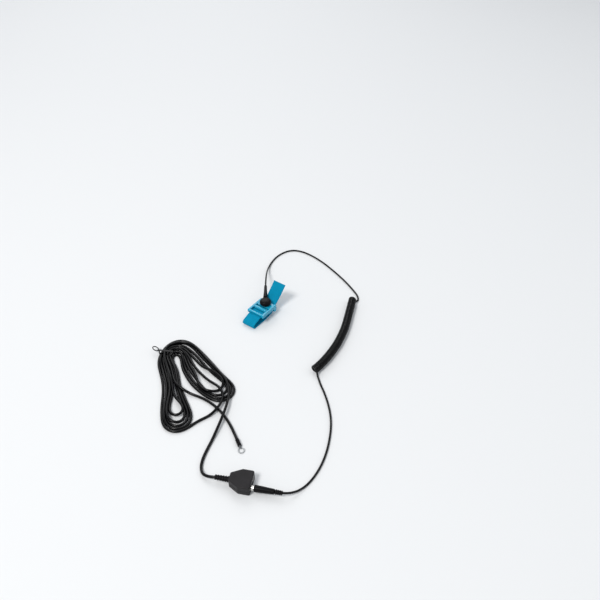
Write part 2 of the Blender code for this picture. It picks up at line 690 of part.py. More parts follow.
def make_ground_relief(frame):
    """Ribbed strain relief with a flange that the two shells hold."""
    back = -HOUSING_LENGTH
    end = back - GROUND_RELIEF_LENGTH
    ribbed = ribs(-back + 2.2, -end, 5, 3.3, 2.9, 0.5)
    outer = [(2.6, -end)] + ribbed[1:] + [(3.4, -back + 1.9), (3.4, -back + GAP), (2.6, -back + GAP),
                                         (2.6, -back - 1.9), (3.7, -back - 1.9), (3.7, -back - 2.9)]
    profile = outer + [(GROUND_BORE, -back - 2.9), (GROUND_BORE, -end)]
    relief = turned("ground_relief", profile, 16, True, False)
    relief.rotation_euler = (0.0, -pi / 2, 0.0)
    link_part(place(relief, 0.0, JACK_SPACING / 2, JACK_Z), "black_plastic", frame)


# ---------------------------------------------------------------- ground cord

def tie_place():
    """Middle of the tied section, its direction across towards the outside, and its half-width."""
    outer_x, outer_y, inner_x, inner_y = HANK[TIE_SECTION]
    outer, inner = Vector((outer_x, outer_y)), Vector((inner_x, inner_y))
    return (outer + inner) / 2, (outer - inner).normalized(), (outer - inner).length / 2


def make_hanks():
    """Each leg of the hank: its two sides, a square end at the tie and a round far end."""
    across = tie_place()[1]
    slot = Vector((across.y, -across.x)) * TIE_SLOT / 2
    legs = (("hank_left", HANK[TIE_SECTION::-1], -slot), ("hank_right", HANK[TIE_SECTION:], slot))
    for name, sections, shift in legs:
        sides = []
        for i in (0, 2):
            route = [(*section[i:i + 2], 0.0) for section in sections]
            route[0] = (route[0][0] + shift.x, route[0][1] + shift.y, 0.0)
            sides.append([point.to_2d() for point in smooth_curve(route, 7.0)])
        outer, inner = sides
        middle = (outer[-1] + inner[-1]) / 2
        arm = outer[-1] - middle
        ahead = Vector((arm.y, -arm.x)) * HANK_END_BULGE
        if ahead.dot(outer[-1] - outer[-2]) < 0.0:
            ahead = -ahead
        cap = [middle + arm * cos(pi * i / 12) + ahead * sin(pi * i / 12) for i in range(1, 12)]
        leg = prism(name, [outer + cap + inner[::-1]], 0.0, HANK_HEIGHT)
        link_part(leg, "black_cord")
        soften(leg)


def make_tie():
    """A flat band round the bundle, twisted at one side into a small open loop."""
    at, across, half = tie_place()
    heading = across.angle_signed(Vector((0.0, 1.0))) * 180.0 / pi
    frame = make_frame("tie_frame", at.x, at.y, 0.0, heading)
    inside, outside = half + GAP, half + GAP + 0.6
    top = HANK_HEIGHT + GAP
    ring = [box_outline(-outside, 0.05, outside, top + 0.6, 1.2),
            box_outline(-inside, 0.65, inside, top, 0.7)]
    band = prism("cord_tie", ring, -1.2, 1.2, upright=True)
    for vertex in band.data.vertices:
        x, y, z = vertex.co
        vertex.co = (-y, x, z)
    link_part(band, "tie_black", frame)
    lean = make_frame("lean_frame", 0.0, outside, 7.2, TIE_LOOP_LEAN)
    lean.parent = frame
    join(band, cylinder("tie_twist", 0.95, (0.0, 0.15, 0.0), (0.0, 2.6, 0.0), 12, "Y"), lean)
    eye = [(2.7 * x, 1.7 + 5.2 * (1.0 + y), 0.0) for x, y in arc((0.0, 0.0), 1.0, -90.0, 255.0, 23)]
    join(band, curve_to_mesh(tube("tie_loop", eye, 0.65, closed=True)), lean)
    soften(band)


def make_ground_leads():
    routes = (("ground_lead_near", NEAR_LEAD), ("ground_lead_cross", CROSS_LEAD), ("ring_lead", RING_LEAD))
    for name, route in routes:
        link_part(tube(name, smooth_curve(route, 10.0), GROUND_RADIUS), "black_cord")


def make_ring_terminal():
    frame = make_frame("ring_frame", *RING_CENTRE, 0.0, RING_HEADING)
    low = 0.2
    outer = arc((0.0, 0.0), RING_RADIUS, 0.0, 345.0, 23)
    hole = arc((0.0, 0.0), RING_HOLE, 0.0, 342.0, 19)
    ring = prism("ring_terminal", [outer, hole], low, low + RING_THICK)
    link_part(ring, "tin", frame)
    neck = prism("ring_neck", [[(3.2, low), (3.9, low), (5.4, BARREL_Z - 0.9), (5.4, BARREL_Z + 0.4),
                                (4.4, BARREL_Z + 0.4), (3.2, low + RING_THICK)]], -1.5, 1.5, upright=True)
    barrel = cylinder("ring_barrel", 1.6, (4.8, 0.0, BARREL_Z), (10.9, 0.0, BARREL_Z), 16, "X")
    for piece in (neck, barrel):
        join(ring, piece, frame)
    cut(ring, cylinder("barrel_bore", 1.1, (6.6, 0.0, BARREL_Z), (12.0, 0.0, BARREL_Z), 12, "X"), frame)
    soften(ring)
    sleeve = turned("ring_sleeve", [
        (2.05, 15.4), (2.3, 15.0), (2.3, 5.4), (2.2, 5.2), (2.0, 5.2), (1.95, 15.4),
    ], 16, True, True)
    link_part(place(sleeve, 0.0, 0.0, BARREL_Z), "black_plastic", frame)


clear_scene()
parts = make_collection(COLLECTION)
cutters = make_collection("cutters")
make_elastic_band()
make_buckle_frame()
make_contact_plate()
make_snap_stud()
make_locking_bar()
make_snap_socket()
make_snap_spring()
connector_frame = make_frame("connector_frame", *STUD, 0.0, BOOT_HEADING)
make_connector(connector_frame)
make_boot(connector_frame)
make_coil_cord()
jack_frame = make_frame("jack_frame", *JACK_POINT, 0.0, JACK_HEADING)
make_plug(jack_frame)
make_housing(jack_frame)
make_jacks(jack_frame)
make_ground_relief(jack_frame)
make_hanks()
make_tie()
make_ground_leads()
make_ring_terminal()
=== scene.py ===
"""Looks of the ESD wrist strap set: webbing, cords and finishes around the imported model."""
import json
from math import atan2, cos, pi, radians, sin

import bmesh
import bpy
import numpy as np
from mathutils import Matrix, Vector

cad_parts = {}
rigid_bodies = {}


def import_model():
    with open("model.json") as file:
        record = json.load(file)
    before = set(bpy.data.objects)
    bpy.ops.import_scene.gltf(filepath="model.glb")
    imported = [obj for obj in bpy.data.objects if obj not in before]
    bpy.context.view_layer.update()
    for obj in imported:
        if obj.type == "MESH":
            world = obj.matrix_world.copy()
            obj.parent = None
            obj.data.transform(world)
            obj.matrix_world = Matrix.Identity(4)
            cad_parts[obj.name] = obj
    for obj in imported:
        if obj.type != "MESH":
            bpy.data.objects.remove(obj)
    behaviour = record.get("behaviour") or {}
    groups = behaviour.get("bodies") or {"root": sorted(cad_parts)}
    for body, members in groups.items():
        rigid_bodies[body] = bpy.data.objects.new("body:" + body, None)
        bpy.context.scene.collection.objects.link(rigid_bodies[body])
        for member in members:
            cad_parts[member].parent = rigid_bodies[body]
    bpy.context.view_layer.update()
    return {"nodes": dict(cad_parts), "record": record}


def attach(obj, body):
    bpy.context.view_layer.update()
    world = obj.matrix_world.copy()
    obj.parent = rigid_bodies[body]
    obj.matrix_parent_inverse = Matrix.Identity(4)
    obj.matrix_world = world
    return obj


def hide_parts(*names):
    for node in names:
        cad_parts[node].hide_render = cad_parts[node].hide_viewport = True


for _obj in list(bpy.data.objects):
    bpy.data.objects.remove(_obj, do_unlink=True)
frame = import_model()
MM = 0.001  # shapes and bumps are in millimetres, and this turns them into metres
NODES = frame["nodes"]
link = bpy.context.scene.collection.objects.link


# ---------------------------------------------------------------- material helpers

class Nodes:
    """A material's node tree with short ways to add and join nodes."""

    def __init__(self, name):
        self.mat = bpy.data.materials.new(name)
        self.mat.use_nodes = True
        self.tree = self.mat.node_tree
        self.shader = self.tree.nodes["Principled BSDF"]

    def add(self, kind, **values):
        node = self.tree.nodes.new(kind)
        for key, value in values.items():
            if key.startswith("in_"):
                node.inputs[key[3:].replace("_", " ")].default_value = value
            else:
                setattr(node, key, value)
        return node

    def join(self, source, target):
        self.tree.links.new(source, target)

    def put(self, **values):
        for key, value in values.items():
            self.shader.inputs[key.replace("_", " ")].default_value = value

    def coords(self, scale=(1.0, 1.0, 1.0), kind="Object"):
        place = self.add("ShaderNodeTexCoord")
        mapping = self.add("ShaderNodeMapping")
        mapping.inputs["Scale"].default_value = scale
        self.join(place.outputs[kind], mapping.inputs["Vector"])
        return mapping.outputs["Vector"]

    def noise(self, vector, scale, detail=3.0, rough=0.55):
        node = self.add("ShaderNodeTexNoise", in_Scale=scale, in_Detail=detail, in_Roughness=rough)
        self.join(vector, node.inputs["Vector"])
        return node.outputs["Fac"]

    def ramp(self, value, stops):
        node = self.add("ShaderNodeValToRGB")
        elements = node.color_ramp.elements
        while len(elements) < len(stops):
            elements.new(0.5)
        for element, (at, colour) in zip(elements, stops):
            element.position = at
            element.color = (*colour, 1.0) if len(colour) == 3 else colour
        self.join(value, node.inputs["Fac"])
        return node.outputs["Color"]

    def remap(self, value, low, high):
        node = self.add("ShaderNodeMapRange")
        node.inputs["To Min"].default_value = low
        node.inputs["To Max"].default_value = high
        self.join(value, node.inputs["Value"])
        return node.outputs["Result"]

    def math(self, kind, a, b=None):
        node = self.add("ShaderNodeMath", operation=kind)
        for socket, value in zip(node.inputs, (a, b)):
            if value is None:
                continue
            if isinstance(value, (int, float)):
                socket.default_value = value
            else:
                self.join(value, socket)
        return node.outputs[0]

    def bump(self, height, strength, distance):
        node = self.add("ShaderNodeBump", in_Strength=strength, in_Distance=distance)
        self.join(height, node.inputs["Height"])
        self.join(node.outputs["Normal"], self.shader.inputs["Normal"])


def shade(colour, factor):
    return tuple(min(1.0, c * factor) for c in colour)


def moulded(name, colour, roughness, grain=0.25, grain_size=0.35, spread=0.18, **extra):
    """Moulded plastic or rubber: faint cloudiness, worn patches in the gloss and a fine grain.

    The grain's size is in millimetres; spread is how far the cloudiness shades the colour.
    """
    n = Nodes(name)
    at = n.coords()
    cloud = n.noise(at, scale=90.0, detail=4.0)
    n.join(n.ramp(cloud, [(0.3, shade(colour, 1.0 - spread)), (0.7, shade(colour, 1.0 + spread))]),
           n.shader.inputs["Base Color"])
    wear = n.noise(at, scale=240.0, detail=5.0)
    n.join(n.remap(wear, roughness * 0.8, roughness * 1.25), n.shader.inputs["Roughness"])
    n.bump(n.noise(at, scale=1.0 / (grain_size * MM), detail=2.0), grain, distance=0.05 * MM)
    n.put(**extra)
    return n.mat


def plated(name, colour, roughness, stretch=(1.0, 1.0, 1.0)):
    """Plated metal: fine scratches and slightly dull patches."""
    n = Nodes(name)
    scratches = n.noise(n.coords(stretch), scale=900.0, detail=6.0, rough=0.7)
    patches = n.noise(n.coords(), scale=260.0, detail=3.0)
    n.join(n.ramp(patches, [(0.35, shade(colour, 0.82)), (0.65, colour)]), n.shader.inputs["Base Color"])
    n.join(n.remap(scratches, roughness * 0.6, roughness * 1.5), n.shader.inputs["Roughness"])
    n.bump(scratches, strength=0.15, distance=0.03 * MM)
    n.put(Metallic=1.0)
    return n.mat


WEAVE_SWING = 1.2  # how far ribs, wales and fuzz together rise and fall about the middle, which also sets the range of the painted shade and highlight in the weave's colour


def webbing(name, colour, rib, wale):
    """Woven elastic: crosswise ribs and lengthwise wales from UVs in millimetres, with painted shade in
    the weave's valleys and painted highlight on its tops.
    """
    n = Nodes(name)
    split = n.add("ShaderNodeSeparateXYZ")
    n.join(n.coords(kind="UV"), split.inputs[0])
    along, across = split.outputs[0], split.outputs[1]
    ribs = n.math("SINE", n.math("MULTIPLY", along, 2 * pi / rib))
    every_other = n.math("SIGN", n.math("SINE", n.math("MULTIPLY", along, pi / rib)))
    offset = n.math("MULTIPLY", every_other, pi / 2)
    wales = n.math("SINE", n.math("ADD", n.math("MULTIPLY", across, 2 * pi / wale), offset))
    height = n.math("ADD", n.math("MULTIPLY", ribs, 0.5), n.math("MULTIPLY", wales, 0.5))
    fuzz = n.noise(n.coords(), scale=2600.0, detail=4.0)
    height = n.math("ADD", height, n.math("MULTIPLY", fuzz, 0.5))
    # painted shade and highlight: the weave's height turned into colour, darker in its valleys and
    # lighter on its tops
    painted_shade_and_patches = n.remap(height, 0.0, 1.0)
    painted_shade_and_patches.node.inputs["From Min"].default_value = -WEAVE_SWING
    painted_shade_and_patches.node.inputs["From Max"].default_value = WEAVE_SWING
    # random patches of tone, mixed in for a quarter on top of the painted shade and highlight
    patch = n.noise(n.coords(), scale=120.0, detail=3.0)
    painted_shade_and_patches = n.math("ADD", n.math("MULTIPLY", painted_shade_and_patches, 0.75), n.math("MULTIPLY", patch, 0.25))
    n.join(n.ramp(painted_shade_and_patches, [(0.1, shade(colour, 0.45)), (0.5, colour), (0.9, shade(colour, 1.5))]),
           n.shader.inputs["Base Color"])
    n.bump(height, strength=0.8, distance=0.12 * MM)
    n.put(Roughness=0.9, Sheen_Weight=0.12, Sheen_Roughness=0.4, Specular_IOR_Level=0.12)
    n.shader.inputs["Sheen Tint"].default_value = (*shade(colour, 3.0), 1.0)
    return n.mat


BAND_BLUE = (0.0005, 0.235, 0.400)
BUCKLE_BLUE = (0.006, 0.345, 0.540)

FINISHES = {
    "elastic_blue": webbing("elastic_blue_weave", BAND_BLUE, rib=0.9, wale=0.75),
    "buckle_blue": moulded("buckle_blue_moulding", BUCKLE_BLUE, roughness=0.24, grain=0.1,
                           grain_size=0.5, spread=0.08, Coat_Weight=0.25,
                           Specular_IOR_Level=0.4, Subsurface_Weight=0.1, Subsurface_Scale=0.002),
    "black_plastic": moulded("black_plastic_moulding", (0.0040, 0.0036, 0.0042), roughness=0.32,
                             grain=0.3, grain_size=0.3, Specular_IOR_Level=0.12),
    "black_cord": moulded("black_cord_jacket", (0.0020, 0.0020, 0.0024), roughness=0.20,
                          grain=0.15, grain_size=0.6, spread=0.25, Specular_IOR_Level=0.20),
    "housing_black": moulded("housing_black_moulding", (0.0150, 0.0135, 0.0150), roughness=0.46,
                             grain=0.5, grain_size=0.3, Specular_IOR_Level=0.22),
    "nickel": plated("nickel_plate", (0.74, 0.72, 0.69), roughness=0.22),
    "stainless": plated("stainless_sheet", (0.60, 0.60, 0.61), roughness=0.34, stretch=(8.0, 1.0, 1.0)),
    "brass": plated("brass_strip", (0.74, 0.54, 0.24), roughness=0.30, stretch=(1.0, 6.0, 1.0)),
    "resistor_body": moulded("resistor_body_paint", (0.30, 0.44, 0.52), roughness=0.42, grain=0.1),
    "tin": plated("tin_plate", (0.36, 0.37, 0.38), roughness=0.34),
    "tie_black": moulded("tie_black_coating", (0.006, 0.006, 0.0065), roughness=0.42, grain=0.2,
                         Specular_IOR_Level=0.3),
}
for entry in frame["record"]["subparts"]:
    node = NODES[entry["node"]]
    node.data.materials.clear()
    node.data.materials.append(FINISHES[entry["material_slot"]])


# ---------------------------------------------------------------- geometry helpers

SPLINE_STEPS = 24  # fine points between two of a route's own points


def spline(a, b, c, d, t):
    """A smooth step from b to c at share t, with a and d the points before and after."""
    return 0.5 * (2 * b + (c - a) * t + (2 * a - 5 * b + 4 * c - d) * t ** 2
                  + (3 * b - a - 3 * c + d) * t ** 3)


def smooth_curve(route, step):
    """Evenly spaced points on a smooth spline through the route's own points."""
    knots = [Vector(point) for point in route]
    knots = [2 * knots[0] - knots[1]] + knots + [2 * knots[-1] - knots[-2]]
    fine = []
    for corners in zip(knots, knots[1:], knots[2:], knots[3:]):
        fine += [spline(*corners, i / SPLINE_STEPS) for i in range(SPLINE_STEPS)]
    fine.append(knots[-2])
    along = [0.0]
    for before, after in zip(fine, fine[1:]):
        along.append(along[-1] + (after - before).length)
    count = max(2, round(along[-1] / step))
    points = []
    j = 0
    for i in range(count + 1):
        want = along[-1] * i / count
        while j < len(along) - 2 and along[j + 1] < want:
            j += 1
        share = (want - along[j]) / (along[j + 1] - along[j])
        points.append(fine[j].lerp(fine[j + 1], share))
    return points


def route_length(points):
    return sum((b - a).length for a, b in zip(points, points[1:]))


def new_piece(name, data, slot, body, finish=None):
    """A new object with its slot's finish, or another given one, and the body it rides on."""
    piece = bpy.data.objects.new(name, data)
    link(piece)
    data.materials.append(finish or FINISHES[slot])
    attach(piece, body)
    return piece


def cord_curve(name, points, radius, slot, body):
    """One open round cord through points in millimetres."""
    data = bpy.data.curves.new(name, "CURVE")
    data.dimensions = "3D"
    data.bevel_depth = radius * MM
    data.bevel_resolution = 3
    data.use_fill_caps = True
    line = data.splines.new("POLY")
    line.points.add(len(points) - 1)
    for point, at in zip(line.points, points):
        point.co = (*(at * MM), 1.0)
    line.use_smooth = True
    return new_piece(name, data, slot, body)


def moulded_copy(node, slot, body, voxel, passes):
    """A CAD part's own shape with its sharp moulded edges rounded off; it stands for the CAD part."""
    data = NODES[node].data.copy()
    data.name = node + "_moulded"
    data.materials.clear()
    data.materials.append(FINISHES[slot])
    piece = bpy.data.objects.new(node + "_moulded", data)
    piece.matrix_world = NODES[node].matrix_world.copy()
    link(piece)
    remesh = piece.modifiers.new("even", "REMESH")
    remesh.mode = "VOXEL"
    remesh.voxel_size = voxel * MM
    soften = piece.modifiers.new("round", "SMOOTH")
    soften.factor = 0.5
    soften.iterations = passes
    bpy.context.view_layer.update()
    ready = piece.evaluated_get(bpy.context.evaluated_depsgraph_get())
    even = bpy.data.meshes.new_from_object(ready)
    piece.modifiers.clear()
    piece.data = even
    even.shade_smooth()
    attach(piece, body)
    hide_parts(node)
    return piece


def true_round(piece, point, axis, start, sides):
    """Push the flats of a many-sided turned part out to the true circle round its axis."""
    point, axis, start = Vector(point) * MM, Vector(axis).normalized(), Vector(start).normalized()
    side = axis.cross(start)
    wedge = 2 * pi / sides
    for vertex in piece.data.vertices:
        height = (vertex.co - point).dot(axis)
        radial = vertex.co - point - axis * height
        angle = atan2(radial.dot(side), radial.dot(start)) % wedge - wedge / 2
        vertex.co = point + axis * height + radial * (cos(angle) / cos(wedge / 2))


# node, slot, body, voxel in millimetres, smoothing passes
MOULDED_PARTS = (
    ("buckle_frame", "buckle_blue", "wristband", 0.22, 4),
    ("locking_bar", "buckle_blue", "locking_bar", 0.22, 4),
    ("connector_base", "black_plastic", "coil_cord", 0.22, 3),
    ("connector_cover", "black_plastic", "coil_cord", 0.22, 5),
    ("connector_boot", "black_plastic", "coil_cord", 0.22, 3),
    ("plug_handle", "black_plastic", "plug", 0.25, 4),
    ("plug_relief", "black_plastic", "plug", 0.25, 2),
    ("housing_upper", "housing_black", "ground_lead", 0.3, 4),
    ("housing_lower", "housing_black", "ground_lead", 0.3, 4),
    ("ground_relief", "black_plastic", "ground_lead", 0.25, 2),
    ("ring_sleeve", "black_plastic", "ground_lead", 0.22, 2),
)
copies = {part[0]: moulded_copy(*part) for part in MOULDED_PARTS}

STUD_X = 2.5  # the snap's axis
BOOT_Z = 19.05  # height of the boot's axis, where the cord leaves the connector
BOOT_HEADING = 38.0
CASE_SIDES = 24
BOOT_SIDES = 16
UP = Vector((0.0, 0.0, 1.0))
boot_way = Vector((cos(radians(BOOT_HEADING)), sin(radians(BOOT_HEADING)), 0.0))
for case_half in ("connector_base", "connector_cover"):
    true_round(copies[case_half], (STUD_X, 0.0, 0.0), UP, boot_way, CASE_SIDES)
true_round(copies["connector_boot"], (STUD_X, 0.0, BOOT_Z), boot_way, UP, BOOT_SIDES)


# ---------------------------------------------------------------- coil cord

CORD_RADIUS = 1.25
COIL_CENTRE_Z = 5.8
COIL_TURN_RADIUS = 4.45  # from the coil's axis to the middle of the cord
COIL_PITCH = 2.85
COIL_FIRST, COIL_LAST = -112.0, 160.0  # where on its round the coil starts and ends
COIL_UNEVEN = 0.010  # share of the radius by which turns differ
TURN_POINTS = 18  # points on each turn
BOOT_MOUTH = (31.1, 22.4, BOOT_Z)
COIL_ROUTE = [
    (93.2, -88.0), (74.2, -96.0), (56.5, -103.5), (40.8, -110.0), (24.4, -115.5),
    (5.4, -120.5), (-11.5, -123.2), (-28.4, -124.8), (-43.4, -124.9), (-54.4, -123.8),
]
CONNECTOR_LEAD = [
    (26.1, 18.5, BOOT_Z), BOOT_MOUTH, (39.0, 28.4, 18.6), (50.0, 36.6, 16.2), (62.0, 45.3, 11.8),
    (74.0, 53.4, 6.8), (87.0, 60.6, 2.9), (100.0, 65.6, 1.5), (114.0, 68.2, 1.3), (128.5, 67.4, 1.3),
    (140.5, 62.8, 1.3), (148.5, 54.0, 1.3), (152.2, 40.0, 1.3), (151.2, 21.0, 1.3), (146.6, -1.0, 1.3),
    (139.4, -22.5, 1.3), (131.3, -43.5, 1.3), (122.8, -62.0, 1.3), (115.3, -76.0, 1.3),
    (109.7, -85.0, 1.3), (104.0, -90.8, 1.3), (98.6, -92.6, 1.4),
]
PLUG_LEAD = [
    (-57.6, -131.0, 1.9), (-61.5, -135.6, 1.3), (-67.5, -142.6, 1.3), (-76.5, -154.4, 1.3),
    (-88.5, -168.0, 1.3), (-102.8, -181.2, 1.3), (-118.3, -191.8, 1.3), (-136.0, -200.9, 1.3),
    (-152.0, -207.2, 1.3), (-168.0, -211.4, 1.3), (-183.5, -213.2, 1.3), (-196.5, -212.6, 1.5),
    (-207.0, -210.0, 2.7), (-214.8, -206.2, 4.9), (-219.0, -202.6, 6.1), (-221.3, -199.3, 6.25),
    (-222.8, -196.2, 6.25),
]


def helix(axis, turn_radius, pitch, first, last):
    """Points round the axis line from angle first to angle last, with whole turns in between."""
    line = smooth_curve([(x, y, COIL_CENTRE_Z) for x, y in axis], step=0.4)
    total = route_length(line)
    turns = round(total / pitch - (last - first) / 360.0) + (last - first) / 360.0
    count = round(turns * TURN_POINTS)
    points = []
    for i in range(count + 1):
        at = i / count * (len(line) - 1)
        j = min(int(at), len(line) - 2)
        centre = line[j].lerp(line[j + 1], at - j)
        ahead = (line[j + 1] - line[j]).normalized()
        side = Vector((ahead.y, -ahead.x, 0.0))
        angle = radians(first) + 2 * pi * turns * i / count
        # two waves that are out of step with the turns
        unevenness = COIL_UNEVEN * (sin(i * 0.37) + sin(i * 0.113))
        radius = turn_radius * (1.0 + unevenness)
        points.append(centre + side * (radius * cos(angle)) + UP * (radius * sin(angle)))
    return points


def nearest(points, target):
    """Number of the point that lies closest to the target."""
    return min(range(len(points)), key=lambda i: (points[i] - target).length)


coil_turns = helix(COIL_ROUTE, COIL_TURN_RADIUS, COIL_PITCH, COIL_FIRST, COIL_LAST)
first_end = smooth_curve(CONNECTOR_LEAD + coil_turns[1:6:2], step=2.0)
last_end = smooth_curve(coil_turns[-6::2] + PLUG_LEAD, step=2.0)
coil_points = first_end[:nearest(first_end, coil_turns[1])] + coil_turns[1:-1]
coil_points += last_end[nearest(last_end, coil_turns[-2]) + 1:]
for point in coil_points:
    point.z = max(point.z, CORD_RADIUS)
coil_cord = cord_curve("coil_cord_line", coil_points, CORD_RADIUS, "black_cord", "coil_cord")
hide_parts("lead_to_connector", "coil", "lead_to_plug")
print("coil cord length", round(route_length(coil_points) * MM, 4))


# ---------------------------------------------------------------- ground cord

GROUND_RADIUS = 1.7
GROUND_MOUTH = (-248.0, -128.9, 6.25)
# outer x, y and inner x, y across the folded hank, from its left end round to its right end;
# section numbers below count these rows from 0
HANK = [
    (-227.5, -26.5, -197.5, -47.7), (-213.0, -9.5, -184.3, -26.5), (-196.5, 5.0, -174.3, -8.3),
    (-181.0, 22.0, -163.5, 5.0), (-168.5, 39.5, -151.8, 17.5), (-158.0, 52.0, -144.6, 31.0),
    (-147.0, 58.0, -138.5, 42.0), (-134.5, 62.5, -131.0, 40.5), (-121.5, 62.0, -131.8, 32.0),
    (-111.0, 55.0, -139.0, 25.0), (-107.3, 42.5, -146.5, 18.3), (-109.0, 27.0, -152.0, 11.5),
    (-114.0, 6.0, -158.3, 0.5), (-119.8, -14.0, -163.8, -13.5), (-125.8, -33.0, -167.0, -31.0),
    (-130.0, -47.0, -167.3, -49.5),
]
NEAR_LEAD = [
    (-245.9, -133.4, 6.25), GROUND_MOUTH, (-251.3, -121.8, 5.2), (-251.0, -114.5, 3.2),
    (-246.6, -107.6, 1.9), (-239.5, -102.3, 1.75), (-230.5, -98.0, 1.8), (-219.5, -94.0, 2.4),
    (-207.0, -89.8, 3.6), (-194.5, -85.5, 5.4), (-182.5, -80.9, 6.8), (-170.5, -75.6, 7.2),
    (-159.5, -69.6, 6.9), (-148.5, -62.0, 6.2), (-139.5, -52.5, 5.4), (-133.8, -43.0, 5.0),
]
CROSS_LEAD = [
    (-150.6, -52.6, 5.2), (-157.4, -60.6, 5.6), (-166.6, -63.6, 6.0),
    (-174.0, -65.4, 5.0), (-182.0, -65.6, 3.6), (-190.5, -62.8, 2.4), (-198.0, -59.4, 1.8),
    (-203.8, -57.4, 1.7),
]
RING_LEAD = [
    (-176.4, -11.5, 5.8), (-174.9, -18.0, 4.0), (-173.0, -26.5, 2.3), (-171.3, -37.0, 1.75),
    (-170.6, -48.0, 1.75), (-171.6, -60.5, 1.75), (-175.2, -76.0, 1.75), (-181.6, -92.0, 1.75),
    (-189.0, -105.6, 1.9), (-194.6, -115.0, 2.35), (-197.9, -120.5, 2.35),
]
# where the nine side-by-side lanes lie across the hank, -1 inside to 1 outside, by section number
LANES = {
    0.0: (-1.0, -0.80, -0.60, -0.40, 0.60, 0.70, 0.62, 0.82, 1.0),
    1.0: (-1.0, -0.79, -0.60, -0.42, 0.42, 0.56, 0.62, 0.78, 1.0),
    2.8: (-1.0, -0.80, -0.60, -0.40, 0.02, 0.20, 0.36, 0.56, 1.0),
    4.9: (-0.84, -0.65, -0.46, -0.27, -0.07, 0.15, 0.39, 0.66, 1.0),
    6.0: (-0.72, -0.52, -0.31, -0.10, 0.11, 0.32, 0.54, 0.77, 1.0),
    7.2: (-0.56, -0.38, -0.20, -0.02, 0.16, 0.34, 0.55, 0.77, 1.0),
    8.2: (-0.56, -0.38, -0.21, -0.04, 0.13, 0.31, 0.53, 0.77, 1.0),
    9.2: (-0.74, -0.56, -0.38, -0.20, -0.02, 0.22, 0.48, 0.76, 1.0),
    10.6: (-1.0, -0.79, -0.58, -0.33, -0.10, 0.20, 0.44, 0.76, 1.0),
    12.6: (-1.0, -0.76, -0.54, -0.40, -0.07, 0.30, 0.50, 0.79, 1.0),
    15.0: (-1.0, -0.81, -0.62, -0.72, 0.0, 0.72, 0.62, 0.81, 1.0),
}
LAST = len(HANK) - 1.0
OUTER_LANE = 8
WANDER = 0.03  # how far across the hank a lane strays from its place
LEFT_STEP, RIGHT_STEP = 22.0, 15.0  # length of the first and last section
# how far from each end of the hank a lane turns back, by lane
LEFT_REACH = {0: 0.0, 7: 0.0, 1: 2.0, 6: 2.0, 2: 5.0, 5: 5.0, 4: 10.0, 8: 2.6}
RIGHT_REACH = {8: 0.0, 0: 0.0, 7: 1.0, 1: 1.0, 6: 5.0, 2: 5.0, 5: 14.0, 3: 14.0}
TOP_Z = 5.2  # a strand that lies across others on the floor


def between(keys, t):
    """Values of a table by section number, which swing a little past each next row and back to it."""
    rows = sorted(keys)
    for low, high in zip(rows, rows[1:]):
        if t <= high:
            share = min(max((t - low) / (high - low), 0.0), 1.0)
            share *= 3.0 - 2.0 * share
            return [a + (b - a) * share for a, b in zip(keys[low], keys[high])]
    return list(keys[rows[-1]])


def across(t):
    """Middle of the hank at a section number, and the arm from it to its outermost strand."""
    i = min(int(t), len(HANK) - 2)
    rows = [HANK[min(max(i + k, 0), len(HANK) - 1)] for k in (-1, 0, 1, 2)]
    place = [spline(*corners, t - i) for corners in zip(*rows)]
    outer, inner = Vector(place[:2]), Vector(place[2:])
    arm = (outer - inner) / 2
    return (outer + inner) / 2, arm * (1.0 - GROUND_RADIUS / arm.length)


def strand(t, u, z):
    """A point at a section number, at share u across the hank and height z."""
    middle, arm = across(t)
    place = middle + arm * u
    return Vector((place.x, place.y, z))


def lane(t, k):
    """A point of lane k: odd lanes ride up on their neighbours where the hank is narrow."""
    shares = between(LANES, t)
    wander = WANDER * sin(1.7 * t + 2.3 * k) if 0 < k < OUTER_LANE else 0.0
    reach = across(t)[1].length
    gap = min(abs(shares[k] - shares[j]) for j in (k - 1, k + 1) if 0 <= j <= OUTER_LANE) * reach
    lift = max(0.0, (2 * GROUND_RADIUS) ** 2 - gap ** 2) ** 0.5 if k % 2 else 0.0
    return strand(t, shares[k] + wander, GROUND_RADIUS + lift)


def run(k, start, end, steps=56):
    """Lane k from one section number to another."""
    return [lane(start + (end - start) * i / steps, k) for i in range(steps + 1)]


def end_loop(start, end, away, steps=14):
    """Half a turn between two strands, bulging away from the hank."""
    middle = (start + end) / 2
    arm = start - middle
    angles = [pi * i / steps for i in range(1, steps)]
    return [middle + arm * cos(angle) + away * (arm.length * sin(angle)) for angle in angles]


def away_from(t, sign):
    """The way along the hank at a section number, in the floor's plane."""
    arm = across(t)[1].normalized()
    return Vector((arm.y, -arm.x, 0.0)) * sign


LEFT_AWAY = away_from(0.0, -1.0)
RIGHT_AWAY = away_from(LAST, 1.0)


ON_SPREAD_LANES = 4.9  # height of a strand on lanes that lie side by side
PILED_RISE = 2.0  # how much higher it lies where the hank is at its narrowest
NARROWEST_SPACING = 2 * GROUND_RADIUS - 1.57  # the strands there overlap by this much, seen from above


def top_height(t):
    """Height of a strand that lies on top of the nine lanes, which pile up where the hank is narrow."""
    spacing = across(t)[1].length / 4
    crowding = (2 * GROUND_RADIUS - spacing) / (2 * GROUND_RADIUS - NARROWEST_SPACING)
    return ON_SPREAD_LANES + PILED_RISE * max(0.0, crowding)


# where the top strand lies across the hank, by section number, and the section that it starts at
TOP_LANE = {
    0.0: (-0.80,), 0.6: (-0.68,), 2.4: (-0.20,), 5.0: (0.1,),
    6.5: (0.3,), 9.0: (0.62,), 12.0: (0.88,), 15.0: (0.9,),
}
TOP_START = 14.3
LONG_STEPS = 60


def sections(start, end):
    """Evenly spaced section numbers along a strand that runs the hank's whole length."""
    return [start + (end - start) * i / LONG_STEPS for i in range(LONG_STEPS + 1)]


